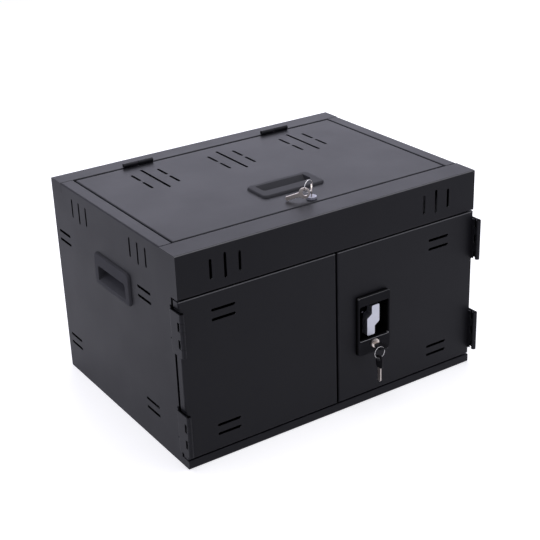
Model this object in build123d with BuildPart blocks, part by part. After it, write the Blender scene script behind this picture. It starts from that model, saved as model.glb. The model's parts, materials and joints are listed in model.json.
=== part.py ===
from build123d import *
import math
import os

os.makedirs("parts", exist_ok=True)

# A steel charging station for portable computers: a cabinet with a hinged lid over the power
# compartment, two doors over the device bays, and a recessed turn handle with a rod latch.
# X runs along the front, Y from the front to the back, Z up. The origin is the middle of the
# base, on the surface that the cabinet stands on. Sizes are in millimetres.

# Cabinet shell
WIDTH = 600.0
DEPTH = 441.0
HEIGHT = 378.0
SHEET = 1.2
FOLD = 2.5
SIDE_STRIP = 24.2
FRONT_STRIP = 49.5
BACK_STRIP = 40.2
STRIP_DROP = 18.0
LEDGE = 9.0
FASCIA_HEIGHT = 74.0
FASCIA_HEM = 17.5
RAIL_TOP = 15.5
RAIL_DEPTH = 28.5
RAIL_LIP = 12.5
SEAT = 0.3
SEAM = 0.5

FRONT = -DEPTH / 2
BACK = DEPTH / 2
SIDE = WIDTH / 2
INNER_SIDE = SIDE - SHEET
LEDGE_TOP = HEIGHT - STRIP_DROP
FASCIA_BOTTOM = HEIGHT - FASCIA_HEIGHT
OPENING_X = SIDE - SIDE_STRIP
OPENING_FRONT = FRONT + FRONT_STRIP
OPENING_BACK = BACK - BACK_STRIP

# Doors
DOOR_DEPTH = 14.5
DOOR_GAP = 3.6
DOOR_TOP_GAP = 2.4
DOOR_BOTTOM_GAP = 2.5
DOOR_SETBACK = 6.5
DOOR_BOTTOM = RAIL_TOP + DOOR_BOTTOM_GAP
DOOR_TOP = FASCIA_BOTTOM - DOOR_TOP_GAP
DOOR_BACK = FRONT + DOOR_DEPTH
SIDE_PANEL_FRONT = DOOR_BACK + DOOR_SETBACK
DOOR_WIDTH = SIDE - DOOR_GAP / 2
DOOR_HEIGHT = DOOR_TOP - DOOR_BOTTOM
DOOR_MID_Z = (DOOR_TOP + DOOR_BOTTOM) / 2

# Lid
LID_SIDE_GAP = 2.0
LID_FRONT_GAP = 1.6
LID_BACK_GAP = 3.5
LID_HALF_WIDTH = OPENING_X - LID_SIDE_GAP
LID_FRONT = OPENING_FRONT + LID_FRONT_GAP
LID_BACK = OPENING_BACK - LID_BACK_GAP
LID_DEPTH = LID_BACK - LID_FRONT
LID_DROP = STRIP_DROP - SEAT

# Vent slots
SLOT = 5.0
SLOT_PITCH = 26.6
UPRIGHT_SHORT = 34.3
UPRIGHT_LONG = 43.0
FLAT_LENGTH = 44.5
FLAT_PITCH = 16.7
LID_SLOT_LONG = 108.0
LID_SLOT_SHORT = 35.0
LID_SLOT_STEP = 44.0
LID_SLOT_FROM_BACK = 83.3
LID_GROUP_PITCH = 157.5
FASCIA_SLOT_INSET = 87.5
DOOR_SLOT_INSET = 79.8
DOOR_SLOT_DROP = 38.8
DOOR_SLOT_RISE = 36.7
SIDE_TRIO_RISE = 2.2
SIDE_TRIO_FROM_FRONT = 122.5
SIDE_TRIO_FROM_BACK = 106.3
SIDE_PAIR_RISE = 10.5
SIDE_PAIR_FROM_FRONT = 111.2
SIDE_PAIR_FROM_BACK = 36.0
LID_SLOT_Y = OPENING_BACK - LID_SLOT_FROM_BACK
FASCIA_SLOT_X = SIDE - FASCIA_SLOT_INSET
FASCIA_SLOT_Z = (HEIGHT + FASCIA_BOTTOM) / 2
BACK_SLOT_X = SIDE / 2
DOOR_SLOT_X = SIDE - DOOR_SLOT_INSET
DOOR_SLOT_ZS = (DOOR_TOP - DOOR_SLOT_DROP, DOOR_BOTTOM + DOOR_SLOT_RISE)
SIDE_TRIO_YS = (FRONT + SIDE_TRIO_FROM_FRONT, BACK - SIDE_TRIO_FROM_BACK)
SIDE_TRIO_Z = FASCIA_SLOT_Z + SIDE_TRIO_RISE
SIDE_PAIR_YS = (FRONT + SIDE_PAIR_FROM_FRONT, BACK - SIDE_PAIR_FROM_BACK)
SIDE_PAIR_ZS = [z + SIDE_PAIR_RISE for z in DOOR_SLOT_ZS]

# Door hinges
LEAF = 1.8
KNUCKLES = 5
HINGE_HEIGHT = 75.0
BARREL_RADIUS = 4.2
PIN_RADIUS = 2.0
PIN_FIT = 0.05
KNUCKLE_GAP = 0.5
AXIS_OUT = 1.8
AXIS_FORWARD = 12.3
LEAF_REACH = 25.0
LEAF_FOOT = 4.0
LEAF_CRANK = 5.0
LEAF_BEND = 3.0
LEAF_NOTCH = 3.0
LEAF_CLEAR = 0.3
POCKET_RISE = 2.5
POCKET_FOOT = 1.0
PIN_HEAD = 3.0
PIN_HEAD_RISE = 1.2
HINGE_INSET = 13.8
HINGE_TOPS = (DOOR_TOP - HINGE_INSET, DOOR_BOTTOM + HINGE_INSET + HINGE_HEIGHT)
AXIS_X = SIDE + AXIS_OUT
AXIS_Y = FRONT - AXIS_FORWARD
LEAF_BACK = FRONT + LEAF_REACH

# Lid hinges
LID_LEAF = 1.3
LID_HINGE_LENGTH = 59.0
LID_HINGE_X = 148.0
LID_BARREL_RADIUS = 4.0
LID_PIN_RADIUS = 1.9
LID_LEAF_DROP = 15.0
LID_NOTCH = 1.0
LID_KNUCKLE_GAP = 1.0
LID_AXIS_RISE = 0.5
LID_AXIS_Y = (OPENING_BACK + LID_BACK) / 2
LID_AXIS_Z = HEIGHT + LID_BARREL_RADIUS + LID_AXIS_RISE

# Moulded grip cups
GRIP_LENGTH = 126.0
GRIP_WIDTH = 60.0
GRIP_RISE = 4.2
GRIP_CORNER = 9.0
POCKET_LENGTH = 98.0
POCKET_WIDTH = 27.5
POCKET_SHIFT = 6.0
POCKET_CORNER = 6.0
CUP_DEPTH = 20.0
CUP_WALL = 2.0
CUP_UNDERCUT = 12.0
CUP_FIT = 0.8
GRIP_DRAFT = 20.0
GRIP_EDGE = 2.5
LIP_THICK = 3.0
SCOOP_RUN = 18.0
SIDE_GRIP_DROP = 116.5
LID_GRIP_BACK = 94.0
SIDE_GRIP_Z = HEIGHT - SIDE_GRIP_DROP
LID_GRIP_Y = OPENING_FRONT + LID_GRIP_BACK
LIP_UNDER = GRIP_RISE - LIP_THICK
CUP_LENGTH = POCKET_LENGTH + 2 * CUP_WALL
CUP_HEIGHT = POCKET_WIDTH + CUP_UNDERCUT + 2 * CUP_WALL
CUP_CENTRE = -POCKET_SHIFT + CUP_UNDERCUT / 2

# Turn handle lock
LOCK_X = 73.4
LOCK_WIDTH = 68.8
LOCK_HEIGHT = 111.8
LOCK_DROP = 5.5
LOCK_RISE = 8.0
LOCK_CORNER = 5.0
LOCK_DRAFT = 3.0
LOCK_EDGE = 1.3
WINDOW_CORNER = 3.0
WINDOW_EDGE = 0.8
WINDOW_WIDTH = 63.0
WINDOW_HEIGHT = 66.0
WINDOW_DROP = 0.8
CUP_FLOOR = 22.0
LOCK_WALL = 1.5
LOCK_FIT = 0.3
LEVER_LENGTH = 56.0
LEVER_BLADE = 16.5
LEVER_JOG = 10.0
LEVER_JOG_LOW = 5.0
LEVER_JOG_HIGH = 12.0
LEVER_CORNER = 3.0
LEVER_DROP = 3.0
LEVER_EDGE = 1.0
LEVER_HUB = 11.0
LEVER_HUB_HEIGHT = 4.0
SPINDLE_RADIUS = 5.0
SPINDLE_SQUARE = 6.4
SPINDLE_FIT = 0.1
RUN_GAP = 0.3
CYLINDER_DROP = 42.5
CYLINDER_RADIUS = 8.0
CYLINDER_RISE = 3.0
CYLINDER_LENGTH = 28.0
PLUG_RADIUS = 5.5
PLUG_FIT = 0.08
DOG_THICK = 1.2
DOG_LENGTH = 12.0
DOG_WIDTH = 8.0
WINDOW_Z = DOOR_MID_Z - WINDOW_DROP
LOCK_Z = WINDOW_Z - LOCK_DROP
CYLINDER_Z = WINDOW_Z - CYLINDER_DROP
LOCK_FACE_Y = FRONT - LOCK_RISE
CUP_FLOOR_Y = LOCK_FACE_Y + CUP_FLOOR
CUP_BACK_Y = CUP_FLOOR_Y + LOCK_WALL

# Rod latch
CRANK_RADIUS = 9.2
CRANK_DISC = 15.0
CRANK_THICK = 3.0
CRANK_PIN = 2.2
CRANK_PIN_SPARE = 1.0
ROD_THICK = 3.0
ROD_WIDTH = 10.0
ROD_EYE = 13.0
ROD_EYE_HEIGHT = 11.0
ROD_SLOT_PLAY = 0.7
UPPER_ROD_PAUSE = 2.6
LOWER_ROD_PAUSE = 0.5
GUIDE_SHEET = 2.0
GUIDE_FOOT = 14.0
GUIDE_WIDTH = 22.0
GUIDE_BACK = 6.0
GUIDE_FROM_TIP = 26.0
GUIDE_FIT = 0.3
STRIKE_CLEAR = 1.5
UPPER_ROD_TIP = DOOR_TOP - UPPER_ROD_PAUSE
LOWER_ROD_TIP = DOOR_BOTTOM + LOWER_ROD_PAUSE
CRANK_STEP = CRANK_RADIUS * math.sqrt(0.5)
ROD_SHIFT = (CRANK_RADIUS + CRANK_STEP) / 2
ROD_Y = CUP_BACK_Y + 2 * RUN_GAP + CRANK_THICK + ROD_THICK / 2

# Left door bolts
BOLT_RADIUS = 4.0
BOLT_X = -28.0
BOLT_LENGTH = 50.0
BOLT_PAUSE = 2.0
BOLT_BACK = 9.0
BOLT_FIT = 0.1
BOLT_KNOB = 13.0
BOLT_KNOB_RADIUS = 2.5
BOLT_KNOB_FROM_TIP = 38.0
BRACKET_LIP = 3.0
BRACKET_HEIGHT = 34.0
BRACKET_WIDTH = 20.0
BRACKET_SHEET = 2.0
BRACKET_FROM_TIP = 12.0
BOLT_Y = FRONT + SHEET + BOLT_BACK
TOP_BOLT_TIP = DOOR_TOP - SHEET - BOLT_PAUSE
BOTTOM_BOLT_TIP = DOOR_BOTTOM + SHEET + BOLT_PAUSE

# Lid lock
LID_LOCK_BACK = 18.5
LID_LOCK_FACE = 9.0
LID_LOCK_RISE = 4.5
LID_LOCK_EDGE = 1.0
LID_LOCK_BODY = 7.5
LID_LOCK_FIT = 0.3
LID_NUT_RADIUS = 12.0
LID_NUT_THICK = 5.0
CAM_THICK = 2.5
CAM_WIDTH = 12.0
CAM_REACH = 18.0
CAM_HEEL = 7.0
CAM_SHANK = 3.0
LID_LOCK_Y = OPENING_FRONT + LID_LOCK_BACK
CAM_TOP = LEDGE_TOP - SHEET - RUN_GAP
LID_BODY_BOTTOM = CAM_TOP + RUN_GAP

# Keys and rings
KEY_THICK = 1.8
KEY_BLADE_WIDTH = 7.5
KEY_TIP = 3.0
KEY_CUTS = 5
KEY_CUT = 1.2
HEADED_BLADE = 28.0
HEAD_GAP = 3.5
HEAD_WIDTH = 17.0
HEAD_LENGTH = 23.0
HEAD_THICK = 3.0
HEAD_CORNER = 5.0
HEAD_HOLE = 4.2
HEAD_HOLE_END = 7.0
HEAD_HOLE_SIDE = 0.9
BOW_RADIUS = 9.5
BOW_HOLE = 5.0
BOW_HOLE_SHIFT = 2.0
BOW_GAP = 1.5
BOW_BLADE = 24.0
RING_RADIUS = 10.5
RING_WIRE = 0.9
KEYWAY_FIT = 0.15
KEY_HANG_GAP = 0.3
KEY_FACING = -33.0
LID_RING_FACING = 197.0
LID_RING_REACH = 7.6
LID_HANG_ANGLE = 30.0
SPARE_FACING = 145.0
SPARE_SLOPE = 17.6
SPARE_SLIDE = 2.0

# Inside
SHELF_FLANGE = 12.0
SHELF_TOP = FASCIA_BOTTOM + 2 * SHEET
RACK_BAYS = 5
RACK_GAP = 4.0
RACK_FROM_FRONT = 52.5
RACK_FROM_BACK = 70.5
RACK_HIGH = 205.0
RACK_LOW = 95.0
RACK_CREST = 120.0
RACK_WINDOW = 220.0
RACK_WINDOW_HEIGHT = 44.0
RACK_SIDE_GAP = 4.4
RACK_FRONT = FRONT + RACK_FROM_FRONT
RACK_BACK = BACK - RACK_FROM_BACK
RACK_SHOULDER = RACK_BACK - RACK_CREST
RACK_WIDTH = INNER_SIDE - RACK_GAP - 2 * RACK_SIDE_GAP
RACK_PITCH = (RACK_WIDTH - SHEET) / RACK_BAYS
RACK_X = (INNER_SIDE + RACK_GAP) / 2
RACK_Y = (RACK_FRONT + RACK_BACK) / 2
CABLE_OPENINGS = 4
CABLE_PITCH = 130.0
CABLE_LENGTH = 76.0
CABLE_WIDTH = 34.0
CABLE_FROM_BACK = 92.5
CABLE_CORNER = 8.0
CABLE_Y = BACK - CABLE_FROM_BACK
GROMMET_LIP = 3.5
GROMMET_THICK = 1.6
GROMMET_DROP = 4.0
STRIP_LENGTH = 400.0
STRIP_X = 20.0
STRIP_HEIGHT = 40.0
STRIP_DEPTH = 42.0
STRIP_FROM_BACK = 4.5
STRIP_WALL = 2.0
STRIP_COVER = 2.0
STRIP_CORNER = 5.0
STRIP_BACK = BACK - STRIP_FROM_BACK
STRIP_FRONT = STRIP_BACK - STRIP_DEPTH
OUTLETS = 10
OUTLET_PITCH = 38.0
OUTLET_FACE = (32.0, 30.0)
OUTLET_CORNER = 4.0
OUTLET_RISE = 0.8
BLADE_SLOT = (2.0, 7.5)
BLADE_PITCH = 12.7
BLADE_LIFT = 4.0
EARTH_DROP = 6.5
EARTH_RADIUS = 2.6
INLET_INSET = 55.0
INLET_DROP = 40.0
INLET_X = INLET_INSET - SIDE
INLET_Z = HEIGHT - INLET_DROP
INLET_FLANGE = (48.0, 58.0)
INLET_BODY = (30.0, 50.0)
INLET_RISE = 2.0
INLET_DEPTH = 28.0
INLET_FIT = 0.6
INLET_CORNER = 4.0
SOCKET = (24.0, 16.5)
SOCKET_DEPTH = 16.0
SOCKET_CORNER = 4.0
SOCKET_DROP = -11.0
PIN_LIFT = 2.0
PIN_SPREAD = 7.0
PIN_SECTION = (2.0, 4.0)
PIN_LENGTH = 13.0
ROCKER = (20.0, 13.0)
ROCKER_LIFT = 13.0
ROCKER_FIT = 0.8
ROCKER_TILT = 7.0
ROCKER_WELL = 10.0
ROCKER_SINK = 5.0
ROCKER_PROUD = 2.4
ROCKER_DISH = 1.4


def save(piece, name):
    """Label a finished piece and write it under its node name."""
    piece.part.label = name
    export_step(piece.part, f"parts/{name}.step")


def upright_trio():
    """Three upright vent slots, the middle one longer."""
    with Locations((-SLOT_PITCH, 0), (SLOT_PITCH, 0)):
        SlotOverall(UPRIGHT_SHORT, SLOT, rotation=90)
    SlotOverall(UPRIGHT_LONG, SLOT, rotation=90)


def flat_pair():
    """Two level vent slots, one over the other."""
    with GridLocations(0, FLAT_PITCH, 1, 2):
        SlotOverall(FLAT_LENGTH, SLOT)


def hand_name(hand):
    return "left" if hand < 0 else "right"


# Base with its front rail, folded from one sheet
with BuildPart() as base_pan:
    with BuildSketch(Plane.YZ.offset(-SIDE)):
        with BuildLine():
            FilletPolyline(
                (BACK, 0),
                (FRONT, 0),
                (FRONT, RAIL_TOP),
                (FRONT + RAIL_DEPTH, RAIL_TOP),
                (FRONT + RAIL_DEPTH, RAIL_TOP - RAIL_LIP),
                radius=FOLD,
            )
            offset(amount=SHEET, side=Side.RIGHT)
        make_face()
    extrude(amount=WIDTH)
    # The folds behind the rail's face end at the side panels
    with BuildSketch(Plane.XY.offset(SHEET)):
        with Locations((-SIDE + SHEET / 2, 0), (SIDE - SHEET / 2, 0)):
            Rectangle(SHEET, DEPTH - 2 * SHEET)
    extrude(amount=RAIL_TOP, mode=Mode.SUBTRACT)
    # Strike holes of the lower rod and the lower bolt
    with BuildSketch(Plane.XY.offset(RAIL_TOP)):
        with Locations((LOCK_X - ROD_SHIFT, ROD_Y)):
            Rectangle(ROD_WIDTH + 2 * STRIKE_CLEAR, ROD_THICK + 2 * STRIKE_CLEAR)
        with Locations((BOLT_X, BOLT_Y)):
            Circle(BOLT_RADIUS + STRIKE_CLEAR)
    extrude(amount=-2 * SHEET, mode=Mode.SUBTRACT)
save(base_pan, "base_pan")


# Front panel over the doors, with the front strip, the lid's seat and a hem below
with BuildPart() as fascia:
    with BuildSketch(Plane.YZ.offset(-SIDE)):
        with BuildLine():
            FilletPolyline(
                (FRONT + FASCIA_HEM, FASCIA_BOTTOM),
                (FRONT, FASCIA_BOTTOM),
                (FRONT, HEIGHT),
                (OPENING_FRONT, HEIGHT),
                (OPENING_FRONT, LEDGE_TOP),
                (OPENING_FRONT + LEDGE, LEDGE_TOP),
                radius=FOLD,
            )
            offset(amount=SHEET, side=Side.RIGHT)
        make_face()
    extrude(amount=WIDTH)
    # The folds inside end at the side panels and at the side strips' ledges
    with BuildSketch(Plane.XY.offset(FASCIA_BOTTOM)):
        with Locations((-SIDE, FRONT + SHEET), (INNER_SIDE, FRONT + SHEET)):
            Rectangle(SHEET, FRONT_STRIP + LEDGE, align=(Align.MIN, Align.MIN))
    extrude(amount=HEIGHT - SHEET - FASCIA_BOTTOM, mode=Mode.SUBTRACT)
    with BuildSketch(Plane.XY.offset(LEDGE_TOP - 2 * SHEET)):
        with Locations((-SIDE, OPENING_FRONT), (OPENING_X - LEDGE, OPENING_FRONT)):
            Rectangle(SIDE_STRIP + LEDGE, LEDGE + SHEET, align=(Align.MIN, Align.MIN))
    extrude(amount=STRIP_DROP, mode=Mode.SUBTRACT)
    with BuildSketch(Plane.XZ.offset(-FRONT)):
        with Locations((-FASCIA_SLOT_X, FASCIA_SLOT_Z), (FASCIA_SLOT_X, FASCIA_SLOT_Z)):
            upright_trio()
    extrude(amount=-SHEET, mode=Mode.SUBTRACT)
    with BuildSketch(Plane.XY.offset(FASCIA_BOTTOM)):
        with Locations((BOLT_X, BOLT_Y)):
            Circle(BOLT_RADIUS + STRIKE_CLEAR)
    extrude(amount=2 * SHEET, mode=Mode.SUBTRACT)
save(fascia, "fascia")


# Back panel with the full-width strip behind the lid
with BuildPart() as back_panel:
    with BuildSketch(Plane.YZ.offset(-SIDE)):
        with BuildLine():
            FilletPolyline(
                (BACK, SHEET),
                (BACK, HEIGHT),
                (OPENING_BACK, HEIGHT),
                (OPENING_BACK, LEDGE_TOP),
                radius=FOLD,
            )
            offset(amount=SHEET, side=Side.LEFT)
        make_face()
    extrude(amount=WIDTH)
    with BuildSketch(Plane.XY.offset(SHEET)):
        with Locations((-SIDE, BACK - SHEET), (INNER_SIDE, BACK - SHEET)):
            Rectangle(SHEET, BACK_STRIP, align=(Align.MIN, Align.MAX))
    extrude(amount=HEIGHT - 2 * SHEET, mode=Mode.SUBTRACT)
    with BuildSketch(Plane.XZ.offset(-BACK)):
        with GridLocations(2 * BACK_SLOT_X, 0, 2, 1):
            with Locations((0, FASCIA_SLOT_Z)):
                upright_trio()
        for z in DOOR_SLOT_ZS:
            with GridLocations(2 * BACK_SLOT_X, 0, 2, 1):
                with Locations((0, z)):
                    flat_pair()
        with Locations((INLET_X, INLET_Z)):
            Rectangle(*(side + INLET_FIT for side in INLET_BODY))
    extrude(amount=SHEET, both=True, mode=Mode.SUBTRACT)
save(back_panel, "back_panel")


def side_panel(hand):
    """Side panel: set back behind the door's edge, with the side strip and the lid's ledge."""
    side = Side.RIGHT if hand < 0 else Side.LEFT
    with BuildPart() as panel:
        with BuildSketch(Plane.YZ.offset(hand * SIDE)):
            with BuildLine():
                Polyline(
                    (FRONT + SHEET, SHEET),
                    (BACK - SHEET, SHEET),
                    (BACK - SHEET, HEIGHT - SHEET),
                    (OPENING_BACK, HEIGHT - SHEET),
                    (OPENING_BACK, LEDGE_TOP),
                    (OPENING_FRONT, LEDGE_TOP),
                    (OPENING_FRONT, HEIGHT - SHEET),
                    (FRONT + SHEET, HEIGHT - SHEET),
                    (FRONT + SHEET, FASCIA_BOTTOM),
                    (SIDE_PANEL_FRONT, FASCIA_BOTTOM),
                    (SIDE_PANEL_FRONT, RAIL_TOP),
                    (FRONT + SHEET, RAIL_TOP),
                    close=True,
                )
            make_face()
            for y in SIDE_TRIO_YS:
                with Locations((y, SIDE_TRIO_Z)):
                    with Locations((-SLOT_PITCH, 0), (SLOT_PITCH, 0)):
                        SlotOverall(UPRIGHT_SHORT, SLOT, rotation=90, mode=Mode.SUBTRACT)
                    SlotOverall(UPRIGHT_LONG, SLOT, rotation=90, mode=Mode.SUBTRACT)
            for y in SIDE_PAIR_YS:
                for z in SIDE_PAIR_ZS:
                    with Locations((y, z)):
                        with GridLocations(0, FLAT_PITCH, 1, 2):
                            SlotOverall(FLAT_LENGTH, SLOT, mode=Mode.SUBTRACT)
            # Relief over each hinge leaf
            for top in HINGE_TOPS:
                with Locations((SIDE_PANEL_FRONT, top)):
                    Rectangle(
                        LEAF_BACK - SIDE_PANEL_FRONT,
                        POCKET_RISE,
                        align=(Align.MIN, Align.MIN),
                        mode=Mode.SUBTRACT,
                    )
            with Locations((0, SIDE_GRIP_Z + CUP_CENTRE)):
                Rectangle(CUP_LENGTH + CUP_FIT, CUP_HEIGHT + CUP_FIT, mode=Mode.SUBTRACT)
        extrude(amount=-hand * SHEET)
        with BuildSketch(Plane.XZ.offset(SEAM - OPENING_BACK)):
            with BuildLine():
                FilletPolyline(
                    (hand * SIDE, LEDGE_TOP),
                    (hand * SIDE, HEIGHT),
                    (hand * OPENING_X, HEIGHT),
                    (hand * OPENING_X, LEDGE_TOP),
                    (hand * (OPENING_X - LEDGE), LEDGE_TOP),
                    radius=FOLD,
                )
                offset(amount=SHEET, side=side)
            make_face()
        extrude(amount=OPENING_BACK - SEAM - OPENING_FRONT)
    return panel


for hand in (-1, 1):
    save(side_panel(hand), f"{hand_name(hand)}_side_panel")


# Shelf between the power compartment and the device bays
with BuildPart() as middle_shelf:
    with BuildSketch(Plane.XZ.offset(-BACK + SHEET)):
        with BuildLine():
            FilletPolyline(
                (-INNER_SIDE, SHELF_TOP - SHELF_FLANGE),
                (-INNER_SIDE, SHELF_TOP),
                (INNER_SIDE, SHELF_TOP),
                (INNER_SIDE, SHELF_TOP - SHELF_FLANGE),
                radius=FOLD,
            )
            offset(amount=SHEET, side=Side.RIGHT)
        make_face()
    extrude(amount=BACK - SHEET - SIDE_PANEL_FRONT)
    with BuildSketch(Plane.XY.offset(SHELF_TOP)):
        with Locations((0, SIDE_PANEL_FRONT)):
            Rectangle(2 * (INNER_SIDE - FOLD), FASCIA_HEM - FOLD, align=(Align.CENTER, Align.MAX))
    extrude(amount=-SHEET)
    with BuildSketch(Plane.XY.offset(SHELF_TOP)):
        with Locations((0, CABLE_Y)):
            with GridLocations(CABLE_PITCH, 0, CABLE_OPENINGS, 1):
                RectangleRounded(CABLE_LENGTH, CABLE_WIDTH, CABLE_CORNER)
        with Locations((BOLT_X, BOLT_Y)):
            Circle(BOLT_RADIUS + STRIKE_CLEAR)
        with Locations((LOCK_X + ROD_SHIFT, ROD_Y)):
            Rectangle(ROD_WIDTH + 2 * STRIKE_CLEAR, ROD_THICK + 2 * STRIKE_CLEAR)
    extrude(amount=-2 * SHEET, mode=Mode.SUBTRACT)
save(middle_shelf, "middle_shelf")


# Moulded grommets round the shelf's cable openings
with BuildPart() as cable_grommets:
    with BuildSketch(Plane.XY.offset(SHELF_TOP)):
        with Locations((0, CABLE_Y)):
            with GridLocations(CABLE_PITCH, 0, CABLE_OPENINGS, 1):
                RectangleRounded(
                    CABLE_LENGTH + 2 * GROMMET_LIP,
                    CABLE_WIDTH + 2 * GROMMET_LIP,
                    CABLE_CORNER + GROMMET_LIP,
                )
    extrude(amount=GROMMET_THICK)
    with BuildSketch(Plane.XY.offset(SHELF_TOP)):
        with Locations((0, CABLE_Y)):
            with GridLocations(CABLE_PITCH, 0, CABLE_OPENINGS, 1):
                RectangleRounded(CABLE_LENGTH, CABLE_WIDTH, CABLE_CORNER)
    extrude(amount=-GROMMET_DROP)
    with BuildSketch(Plane.XY.offset(SHELF_TOP + GROMMET_THICK)):
        with Locations((0, CABLE_Y)):
            with GridLocations(CABLE_PITCH, 0, CABLE_OPENINGS, 1):
                RectangleRounded(
                    CABLE_LENGTH - 2 * GROMMET_THICK,
                    CABLE_WIDTH - 2 * GROMMET_THICK,
                    CABLE_CORNER - GROMMET_THICK,
                )
    extrude(amount=-GROMMET_THICK - GROMMET_DROP, mode=Mode.SUBTRACT)
save(cable_grommets, "cable_grommets")


# Trays of the two divider racks, side by side on the base
with BuildPart() as divider_trays:
    with BuildSketch(Plane.XY.offset(SHEET)):
        with Locations((-RACK_X, RACK_Y), (RACK_X, RACK_Y)):
            Rectangle(RACK_WIDTH, RACK_BACK - RACK_FRONT)
    extrude(amount=SHEET)
save(divider_trays, "divider_trays")


def upright_dividers(hand):
    """Dividers of one rack, swept down towards the front so that devices can be gripped."""
    with BuildPart() as dividers:
        for bay in range(RACK_BAYS + 1):
            with BuildSketch(Plane.YZ.offset(hand * RACK_X - RACK_WIDTH / 2 + bay * RACK_PITCH)):
                with BuildLine():
                    Polyline(
                        (RACK_FRONT, RACK_LOW),
                        (RACK_FRONT, 2 * SHEET),
                        (RACK_BACK, 2 * SHEET),
                        (RACK_BACK, RACK_HIGH),
                        (RACK_SHOULDER, RACK_HIGH),
                    )
                    Spline(
                        (RACK_SHOULDER, RACK_HIGH),
                        (RACK_FRONT, RACK_LOW),
                        tangents=((-1, 0), (0, -1)),
                    )
                make_face()
                with Locations((RACK_Y, RACK_LOW / 2)):
                    SlotOverall(RACK_WINDOW, RACK_WINDOW_HEIGHT, mode=Mode.SUBTRACT)
            extrude(amount=SHEET)
    return dividers


for hand in (-1, 1):
    save(upright_dividers(hand), f"{hand_name(hand)}_dividers")


# Power strip on the shelf, along the back
with BuildPart() as power_strip_case:
    with BuildSketch(Plane.XZ.offset(-STRIP_BACK)):
        with Locations((STRIP_X, SHELF_TOP)):
            Rectangle(STRIP_LENGTH, STRIP_HEIGHT, align=(Align.CENTER, Align.MIN))
    extrude(amount=STRIP_DEPTH)
    fillet(power_strip_case.edges().filter_by(Axis.Y).group_by(Axis.Z)[-1], STRIP_CORNER)
    offset(amount=-STRIP_WALL, openings=power_strip_case.faces().sort_by(Axis.Y)[0])
save(power_strip_case, "power_strip_case")

with BuildPart() as power_strip_cover:
    with BuildSketch(Plane.XZ.offset(-STRIP_FRONT)):
        with Locations((STRIP_X, SHELF_TOP)):
            Rectangle(STRIP_LENGTH, STRIP_HEIGHT, align=(Align.CENTER, Align.MIN))
    extrude(amount=STRIP_COVER)
    with BuildSketch(Plane.XZ.offset(-STRIP_FRONT + STRIP_COVER)):
        with Locations((STRIP_X, SHELF_TOP + STRIP_HEIGHT / 2)):
            with GridLocations(OUTLET_PITCH, 0, OUTLETS, 1):
                RectangleRounded(*OUTLET_FACE, OUTLET_CORNER)
    extrude(amount=OUTLET_RISE)
    with BuildSketch(Plane.XZ.offset(-STRIP_FRONT + STRIP_COVER + OUTLET_RISE)):
        with Locations((STRIP_X, SHELF_TOP + STRIP_HEIGHT / 2)):
            with GridLocations(OUTLET_PITCH, 0, OUTLETS, 1):
                with Locations((-BLADE_PITCH / 2, BLADE_LIFT), (BLADE_PITCH / 2, BLADE_LIFT)):
                    Rectangle(*BLADE_SLOT)
                with Locations((0, -EARTH_DROP)):
                    Circle(EARTH_RADIUS)
    extrude(amount=-STRIP_COVER - OUTLET_RISE, mode=Mode.SUBTRACT)
save(power_strip_cover, "power_strip_cover")


# Power inlet in the back panel, with a rocker switch over the socket
INLET_FACE = BACK + INLET_RISE
with BuildPart() as inlet_socket:
    with BuildSketch(Plane.XZ.offset(-BACK)):
        with Locations((INLET_X, INLET_Z)):
            RectangleRounded(*INLET_FLANGE, INLET_CORNER)
    extrude(amount=-INLET_RISE)
    with BuildSketch(Plane.XZ.offset(-BACK)):
        with Locations((INLET_X, INLET_Z)):
            Rectangle(*INLET_BODY)
    extrude(amount=INLET_DEPTH)
    with BuildSketch(Plane.XZ.offset(-INLET_FACE)):
        with Locations((INLET_X, INLET_Z + SOCKET_DROP)):
            RectangleRounded(*SOCKET, SOCKET_CORNER)
    extrude(amount=SOCKET_DEPTH, mode=Mode.SUBTRACT)
    with BuildSketch(Plane.XZ.offset(-INLET_FACE)):
        with Locations((INLET_X, INLET_Z + ROCKER_LIFT)):
            Rectangle(ROCKER[0] + 2 * ROCKER_FIT, ROCKER[1] + 2 * ROCKER_FIT)
    extrude(amount=ROCKER_WELL, mode=Mode.SUBTRACT)
save(inlet_socket, "inlet_socket")

with BuildPart() as inlet_pins:
    with BuildSketch(Plane.XZ.offset(-INLET_FACE + SOCKET_DEPTH)):
        with Locations(
            (INLET_X, INLET_Z + SOCKET_DROP + PIN_LIFT),
            (INLET_X - PIN_SPREAD, INLET_Z + SOCKET_DROP - PIN_LIFT),
            (INLET_X + PIN_SPREAD, INLET_Z + SOCKET_DROP - PIN_LIFT),
        ):
            Rectangle(*PIN_SECTION)
    extrude(amount=-PIN_LENGTH)
save(inlet_pins, "inlet_pins")

# Rocker, pressed in at its lower end
tilt = math.radians(ROCKER_TILT)
rocker_end = (INLET_X - ROCKER[0] / 2, INLET_FACE - ROCKER_SINK, INLET_Z + ROCKER_LIFT)
rocker_plane = Plane(
    origin=rocker_end, x_dir=(0, math.cos(tilt), math.sin(tilt)), z_dir=(1, 0, 0)
)
with BuildPart() as power_rocker:
    with BuildSketch(rocker_plane):
        with BuildLine():
            Polyline(
                (0, -ROCKER[1] / 2),
                (ROCKER_SINK + ROCKER_PROUD, -ROCKER[1] / 2),
                (ROCKER_SINK + ROCKER_DISH, 0),
                (ROCKER_SINK + ROCKER_PROUD, ROCKER[1] / 2),
                (0, ROCKER[1] / 2),
                close=True,
            )
        make_face()
    extrude(amount=ROCKER[0])
save(power_rocker, "power_rocker")


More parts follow.
